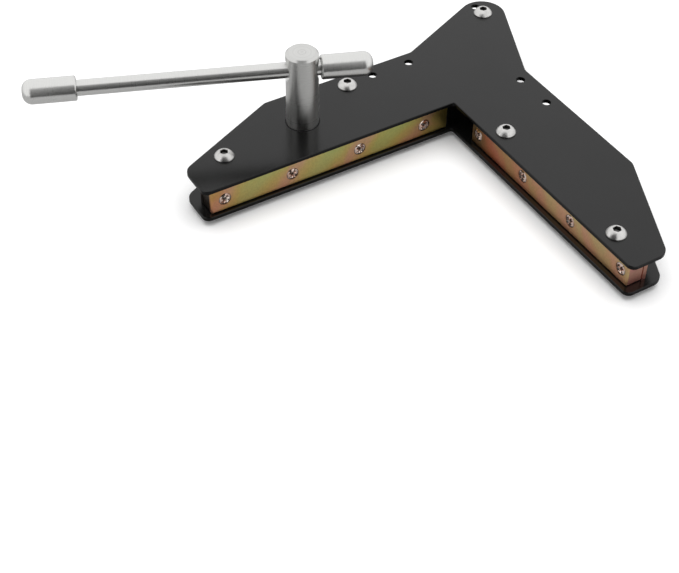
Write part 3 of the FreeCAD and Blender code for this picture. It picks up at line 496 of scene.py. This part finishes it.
def turned_steel(name, axis, centre, tone):
    """Bright steel turned on a lathe: fine rings round the axis stretch each reflection."""
    material, tree = start_material(name)
    place = add(tree, "ShaderNodeTexCoord").outputs["Object"]
    from_centre = add(tree, "ShaderNodeVectorMath", {0: place, 1: centre}, operation="SUBTRACT")
    round_axis = add(tree, "ShaderNodeVectorMath", {
        0: axis, 1: from_centre}, operation="CROSS_PRODUCT")
    in_world = add(
        tree, "ShaderNodeVectorTransform", {0: round_axis},
        vector_type="VECTOR", convert_from="OBJECT", convert_to="WORLD")
    normal = add(tree, "ShaderNodeNewGeometry").outputs["Normal"]
    across = add(tree, "ShaderNodeVectorMath", {
        0: in_world, 1: normal}, operation="CROSS_PRODUCT")
    along = add(tree, "ShaderNodeVectorMath", {0: from_centre, 1: axis}, operation="DOT_PRODUCT")
    from_axis = add(tree, "ShaderNodeVectorMath", {0: round_axis}, operation="LENGTH")
    ring_place = add(tree, "ShaderNodeCombineXYZ", {
        0: along.outputs["Value"], 1: from_axis.outputs["Value"]})
    rings = add(tree, "ShaderNodeTexNoise", {
        "Vector": ring_place, "Scale": 1 / LATHE_RING_SIZE, "Detail": 1.0})
    gloss = add(tree, "ShaderNodeMapRange", {
        "Value": rings, "From Min": NOISE_LOW, "From Max": NOISE_HIGH,
        "To Min": 0.27, "To Max": 0.31})
    shade = add(tree, "ShaderNodeValToRGB", {0: rings}, [
        (NOISE_LOW, tone), (NOISE_HIGH, "#dcdcda")])
    bump = add(tree, "ShaderNodeBump", {
        "Height": rings, "Strength": 0.3, "Distance": 0.003 * MM})
    steel = add(tree, "ShaderNodeBsdfPrincipled", {
        "Base Color": shade, "Metallic": 1.0, "Roughness": gloss, "Anisotropic": 0.6,
        "Tangent": across, "Normal": bump})
    add(tree, "ShaderNodeOutputMaterial", {"Surface": steel})
    return material


def clouded_metal(name, light, dark, roughness, cloud_size, dent, grime_and_shade_tone="#ffffff"):
    """Plated or blackened metal: shade and gloss drift in small clouds on a slightly uneven skin.

    Where a screw has painted shade and grime, in its recess, towards its rim and round it, the
    metal is as dark as that tone."""
    material, tree = start_material(name)
    place = add(tree, "ShaderNodeTexCoord").outputs["Object"]
    cloud = add(tree, "ShaderNodeTexNoise", {
        "Vector": place, "Scale": 1 / cloud_size, "Detail": 3.0})
    shade = add(tree, "ShaderNodeValToRGB", {0: cloud}, [
        (NOISE_LOWER_MIDDLE, dark), (NOISE_UPPER_MIDDLE, light)])
    # Painted shade and grime: the rings' shares darken the screws' recesses and rims
    grime_and_shade = add(tree, "ShaderNodeAttribute", attribute_name=GRIME_AND_SHADE_LAYER).outputs["Fac"]
    dim = add(tree, "ShaderNodeValToRGB", {0: grime_and_shade}, [(0.0, "#ffffff"), (1.0, grime_and_shade_tone)])
    skin = add(tree, "ShaderNodeVectorMath", {0: shade, 1: dim}, operation="MULTIPLY")
    gloss = add(tree, "ShaderNodeMapRange", {
        "Value": cloud, "From Min": NOISE_LOW, "From Max": NOISE_HIGH,
        "To Min": roughness * DARK_CLOUD_ROUGHNESS, "To Max": roughness * LIGHT_CLOUD_ROUGHNESS})
    bump = add(tree, "ShaderNodeBump", {"Height": cloud, "Strength": 0.6, "Distance": dent})
    metal = add(tree, "ShaderNodeBsdfPrincipled", {
        "Base Color": skin, "Metallic": 1.0, "Roughness": gloss, "Normal": bump})
    add(tree, "ShaderNodeOutputMaterial", {"Surface": metal})
    return material


def black_acetal():
    """Turned black acetal: a dense, slightly waxy plastic with faint tool marks."""
    material, tree = start_material("black_acetal")
    place = add(tree, "ShaderNodeTexCoord").outputs["Object"]
    marks = add(tree, "ShaderNodeTexNoise", {
        "Vector": place, "Scale": 1 / ACETAL_MARK_SIZE, "Detail": 2.0})
    shade = add(tree, "ShaderNodeValToRGB", {0: marks}, [
        (NOISE_LOWER_MIDDLE, "#080808"), (NOISE_UPPER_MIDDLE, "#0c0c0c")])
    bump = add(tree, "ShaderNodeBump", {
        "Height": marks, "Strength": 0.3, "Distance": 0.01 * MM})
    plastic = add(tree, "ShaderNodeBsdfPrincipled", {
        "Base Color": shade, "Roughness": 0.5, "IOR": 1.48, "Specular IOR Level": 0.2,
        "Normal": bump})
    add(tree, "ShaderNodeOutputMaterial", {"Surface": plastic})
    return material


def circle(radius):
    """Outline of a circle, as a radius at each angle."""
    return lambda angle: radius


def hexagon(width):
    """Outline of a hexagon with that width across its flats."""
    return lambda angle: (
        width / 2 / math.cos((angle + math.pi / 6) % (math.pi / 3) - math.pi / 6))


def cross(span, width):
    """Outline of a cross with four equal wings."""
    def reach(angle):
        from_wing = abs((angle + math.pi / 4) % (math.pi / 2) - math.pi / 4)
        if math.tan(from_wing) * span <= width:
            return span / 2 / math.cos(from_wing)
        return width / 2 / math.sin(from_wing)
    return reach


def between(inner, outer, share):
    """Outline that lies part of the way from one outline to another."""
    return lambda angle: inner(angle) + (outer(angle) - inner(angle)) * share


def ringed_mesh(name, rings, grime_and_shade_shares):
    """Closed mesh through rings of points round Z, from the top's pole to the bottom's.

    Each ring is an outline and a height, or a height for each reach, and poles close the first
    and last. Painted shade and grime lie on the first rings, as much on each as its share says."""
    mesh = bmesh.new()
    grime_and_shade = mesh.verts.layers.float.new(GRIME_AND_SHADE_LAYER)
    angles = [2 * math.pi * index / RING_POINTS for index in range(RING_POINTS)]
    loops = []
    for outline, height in rings:
        reaches = [outline(angle) for angle in angles]
        loops.append([
            mesh.verts.new((
                reach * math.cos(angle), reach * math.sin(angle),
                height(reach) if callable(height) else height))
            for reach, angle in zip(reaches, angles)])
    for loop, share in zip(loops, grime_and_shade_shares):
        for point in loop:
            point[grime_and_shade] = share
    for upper, lower in zip(loops, loops[1:]):
        for index in range(RING_POINTS):
            mesh.faces.new((upper[index - 1], upper[index], lower[index], lower[index - 1]))
    for loop, height in ((loops[0], rings[0][1]), (loops[-1], rings[-1][1])):
        pole = mesh.verts.new((0, 0, height))
        for index in range(RING_POINTS):
            mesh.faces.new((loop[index - 1], loop[index], pole))
    bmesh.ops.recalc_face_normals(mesh, faces=mesh.faces)
    data = bpy.data.meshes.new(name)
    mesh.to_mesh(data)
    mesh.free()
    return bpy.data.objects.new(name, data)


def hex_screw(length):
    """Button head screw with a hexagon socket: its head stands on z = 0, its shank points down.

    The dome is part of a sphere through the edge of the flat on top and the top of the rim."""
    top = HEX_HEAD_HEIGHT
    floor = top - HEX_SOCKET_DEPTH
    flat, rim = HEX_HEAD_FLAT / 2, HEX_HEAD_DIAMETER / 2
    shank = HEX_SHANK_DIAMETER / 2
    rise = top - HEX_HEAD_RIM
    centre = (top + HEX_HEAD_RIM - (rim ** 2 - flat ** 2) / rise) / 2
    sphere = math.hypot(rim, HEX_HEAD_RIM - centre)
    rings = [
        (circle(SCREW_EDGE), floor - HEX_SOCKET_CONE),
        (circle(HEX_SOCKET_WIDTH / 2 - SCREW_EDGE), floor),
        (hexagon(HEX_SOCKET_WIDTH), floor),
        (hexagon(HEX_SOCKET_WIDTH), top - 2 * SCREW_EDGE),
        (hexagon(HEX_SOCKET_WIDTH + 2 * SCREW_EDGE), top - SCREW_EDGE / 2),
        (circle(HEX_SOCKET_WIDTH / math.sqrt(3) + 2 * SCREW_EDGE), top),
    ]
    for step in range(DOME_STEPS + 1):
        reach = flat + (rim - flat) * math.sin(math.pi / 2 * step / DOME_STEPS)
        rings.append((circle(reach), centre + math.sqrt(sphere ** 2 - reach ** 2)))
    rings += [
        (circle(rim), 2 * SCREW_EDGE),
        (circle(rim - SCREW_EDGE / 3), SCREW_EDGE / 2),
        (circle(rim - SCREW_EDGE), 0),
        (circle(shank), 0),
        (circle(shank), SCREW_EDGE - length),
        (circle(shank - SCREW_EDGE), -length),
    ]
    return ringed_mesh("hex_screw", rings, HEX_GRIME_AND_SHADE)


def cross_screw(length):
    """Raised countersunk screw with a cross recess: its dome's top is at z = 0, its shank below."""
    head, shank, rim = CROSS_HEAD_DIAMETER / 2, CROSS_SHANK_DIAMETER / 2, -CROSS_HEAD_DOME
    sphere = (head ** 2 + CROSS_HEAD_DOME ** 2) / (2 * CROSS_HEAD_DOME)

    def on_dome(reach):
        return math.sqrt(sphere ** 2 - reach ** 2) - sphere

    mouth = cross(CROSS_SPAN + 2 * CROSS_BEVEL, CROSS_WIDTH + 2 * CROSS_BEVEL)
    edge = circle(head - SCREW_EDGE / 2)
    rings = [
        (cross(CROSS_SPAN * span, CROSS_WIDTH * width), -CROSS_DEPTH * depth)
        for span, width, depth in CROSS_STEPS]
    rings.append((
        cross(CROSS_SPAN, CROSS_WIDTH), lambda reach: on_dome(reach) - CROSS_BEVEL_DEPTH))
    rings += [
        (between(mouth, edge, step / DOME_STEPS), on_dome) for step in range(DOME_STEPS + 1)]
    rings += [
        (circle(head), rim - SCREW_EDGE),
        (circle(head), rim - CROSS_HEAD_RIM),
        (circle(shank), rim - CROSS_HEAD_RIM - head + shank),
        (circle(shank), SCREW_EDGE - length),
        (circle(shank - SCREW_EDGE), -length),
    ]
    unshaded_dome = (0.0,) * (DOME_STEPS + 1 - len(CROSS_DOME_GRIME_AND_SHADE))
    grime_and_shade_shares = CROSS_RECESS_GRIME_AND_SHADE + unshaded_dome + CROSS_DOME_GRIME_AND_SHADE + CROSS_RIM_GRIME_AND_SHADE
    return ringed_mesh("cross_screw", rings, grime_and_shade_shares)


def solids_in(node):
    """Lowest and highest corner of each separate solid in a CAD node."""
    mesh = bmesh.new()
    mesh.from_mesh(frame["nodes"][node].data)
    bmesh.ops.remove_doubles(mesh, verts=mesh.verts, dist=WELD_DISTANCE)
    left = set(mesh.verts)
    boxes = []
    while left:
        edge = [left.pop()]
        low, high = edge[0].co.copy(), edge[0].co.copy()
        while edge:
            point = edge.pop()
            low = Vector(map(min, low, point.co))
            high = Vector(map(max, high, point.co))
            near = {link.other_vert(point) for link in point.link_edges} & left
            left -= near
            edge += near
        boxes.append((low, high))
    mesh.free()
    return sorted(boxes, key=lambda box: tuple(box[0]))


def screw_pattern_tree():
    """Geometry nodes that set a screw on each point, turned to where it stopped, as one mesh."""
    tree = bpy.data.node_groups.new("screw_pattern", "GeometryNodeTree")
    tree.is_modifier = True
    for name, kind in (
        ("Places", "NodeSocketGeometry"),
        ("Screw", "NodeSocketObject"),
        ("Facing", "NodeSocketRotation"),
        ("Stop Angle", "NodeSocketFloat"),
        ("Stop Spread", "NodeSocketFloat"),
        ("Seed", "NodeSocketInt"),
        ("Finish", "NodeSocketMaterial"),
    ):
        tree.interface.new_socket(name, in_out="INPUT", socket_type=kind)
    tree.interface.new_socket("Screws", in_out="OUTPUT", socket_type="NodeSocketGeometry")
    given = add(tree, "NodeGroupInput").outputs
    angles = {0: given["Stop Angle"], 1: given["Stop Spread"]}
    least = add(tree, "ShaderNodeMath", angles, operation="SUBTRACT")
    most = add(tree, "ShaderNodeMath", angles, operation="ADD")
    stop = add(tree, "FunctionNodeRandomValue", {
        2: least, 3: most, "Seed": given["Seed"]}, data_type="FLOAT")
    spin = add(tree, "FunctionNodeAxisAngleToRotation", {
        "Axis": tuple(UP), "Angle": stop.outputs[1]})
    turn = add(tree, "FunctionNodeRotateRotation", {
        "Rotation": given["Facing"], "Rotate By": spin}, rotation_space="LOCAL")
    screw = add(tree, "GeometryNodeObjectInfo", {"Object": given["Screw"]})
    placed = add(tree, "GeometryNodeInstanceOnPoints", {
        "Points": given["Places"], "Instance": screw.outputs["Geometry"], "Rotation": turn})
    real = add(tree, "GeometryNodeRealizeInstances", {0: placed})
    finished = add(tree, "GeometryNodeSetMaterial", {
        "Geometry": real, "Material": given["Finish"]})
    add(tree, "NodeGroupOutput", {0: finished})
    return tree


def set_screws(tree, name, places, screw, facing, stops, finish):
    """Plain mesh of one screw at each place, facing out along a direction."""
    points = bpy.data.meshes.new(name)
    points.from_pydata(places, [], [])
    holder = bpy.data.objects.new(name, points)
    bpy.context.scene.collection.objects.link(holder)
    modifier = holder.modifiers.new("screws", "NODES")
    modifier.node_group = tree
    turn = facing.to_track_quat("Z", "Y").to_euler()
    values = {"Screw": screw, "Facing": turn, "Finish": finish, **stops}
    for item in tree.interface.items_tree:
        if item.in_out == "INPUT" and item.name in values:
            modifier[item.identifier] = values[item.name]
    graph = bpy.context.evaluated_depsgraph_get()
    mesh = bpy.data.meshes.new_from_object(holder.evaluated_get(graph))
    bpy.data.objects.remove(holder)
    return mesh


def finish_piece(name, meshes, body, node):
    """One piece from several meshes, which stands for a CAD node and rides on its body."""
    merged = bmesh.new()
    for mesh in meshes:
        merged.from_mesh(mesh)
    data = meshes[0]
    merged.to_mesh(data)
    merged.free()
    data.polygons.foreach_set("use_smooth", [True] * len(data.polygons))
    data.set_sharp_from_angle(angle=SHARP_ANGLE)
    piece = bpy.data.objects.new(name, data)
    bpy.context.scene.collection.objects.link(piece)
    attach(piece, body)
    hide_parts(node)


def make_button_screws(tree, finish):
    """Five button head screws in each plate, those of the bottom plate facing down."""
    for node, name, facing in (
        ("top_button_screws", "top_hex_screws", UP),
        ("bottom_button_screws", "bottom_hex_screws", -UP),
    ):
        boxes = solids_in(node)
        first_low, first_high = boxes[0]
        depth = first_high.z - first_low.z
        outer = first_high.z if facing.z > 0 else first_low.z
        seat = outer - HEX_HEAD_HEIGHT * facing.z
        places = [((low.x + high.x) / 2, (low.y + high.y) / 2, seat) for low, high in boxes]
        screw = hex_screw(depth - HEX_HEAD_HEIGHT)
        mesh = set_screws(tree, name, places, screw, facing, HEX_STOPS, finish)
        finish_piece(name, [mesh], "frame", node)


def make_jaw_screws(tree, finish):
    """Four countersunk screws in each jaw, each as long as the CAD screw that it stands for."""
    for node, name, body, facing, axis in (
        ("sliding_jaw_screws", "left_cross_screws", "sliding_jaw", LEFT_FACE_OUT, 1),
        ("fixed_jaw_screws", "right_cross_screws", "frame", RIGHT_FACE_OUT, 0),
    ):
        by_length = {}
        for low, high in solids_in(node):
            place = (low + high) / 2
            place[axis] = low[axis]
            length = round(high[axis] - low[axis], LENGTH_DIGITS)
            by_length.setdefault(length, []).append(place)
        meshes = [
            set_screws(tree, name, places, cross_screw(length), facing, CROSS_STOPS, finish)
            for length, places in sorted(by_length.items())]
        finish_piece(name, meshes, body, node)


def dress_nodes(finishes):
    """Gives each CAD node its finish."""
    for finish, nodes in finishes:
        for node in nodes:
            for slot in frame["nodes"][node].material_slots:
                slot.material = finish


def make_clamp():
    """Finishes of all pieces, and the screws."""
    metals = {name: clouded_metal(name, **look) for name, look in METALS.items()}
    post_steel = turned_steel(
        "turned_steel_post", tuple(UP), middle_of("handle_post"), "#cdcdcb")
    # The bar's steel is the post's with a lighter tone: painted light, so the bar renders brighter
    bar_steel = turned_steel(
        "turned_steel_bar", tuple(BAR_AXIS), middle_of("tommy_bar"), "#e4e4e2")
    dress_nodes([
        (powder_coat(), ["top_plate", "bottom_plate"]),
        (yellow_zinc("yellow_zinc_left_jaw", "X", "Y", **LEFT_FILM),
         ["sliding_jaw_bar", "sliding_jaw_back_strip"]),
        (yellow_zinc("yellow_zinc_right_jaw", "Y", "X", **RIGHT_FILM),
         ["fixed_jaw_bar", "fixed_jaw_back_strip"]),
        (metals["nickel_plated_magnet"], ["fixed_jaw_magnets", "sliding_jaw_magnets"]),
        (metals["black_oxide_steel"], ["cam_yoke", "end_guide_fork", "release_cam"]),
        (post_steel, ["handle_post", "cam_key"]),
        (bar_steel, ["tommy_bar", "near_bar_cap", "far_bar_cap"]),
        (metals["bright_nickel_screw"],
         ["post_circlip", "end_spacer", "middle_spacer", "apex_spacer"]),
        (black_acetal(), ["upper_post_bush", "lower_post_bush"]),
    ])
    tree = screw_pattern_tree()
    make_button_screws(tree, metals["bright_nickel_screw"])
    make_jaw_screws(tree, metals["yellow_zinc_screw"])


make_camera()
make_studio()
make_clamp()
bpy.context.scene.view_settings.view_transform = "Standard"
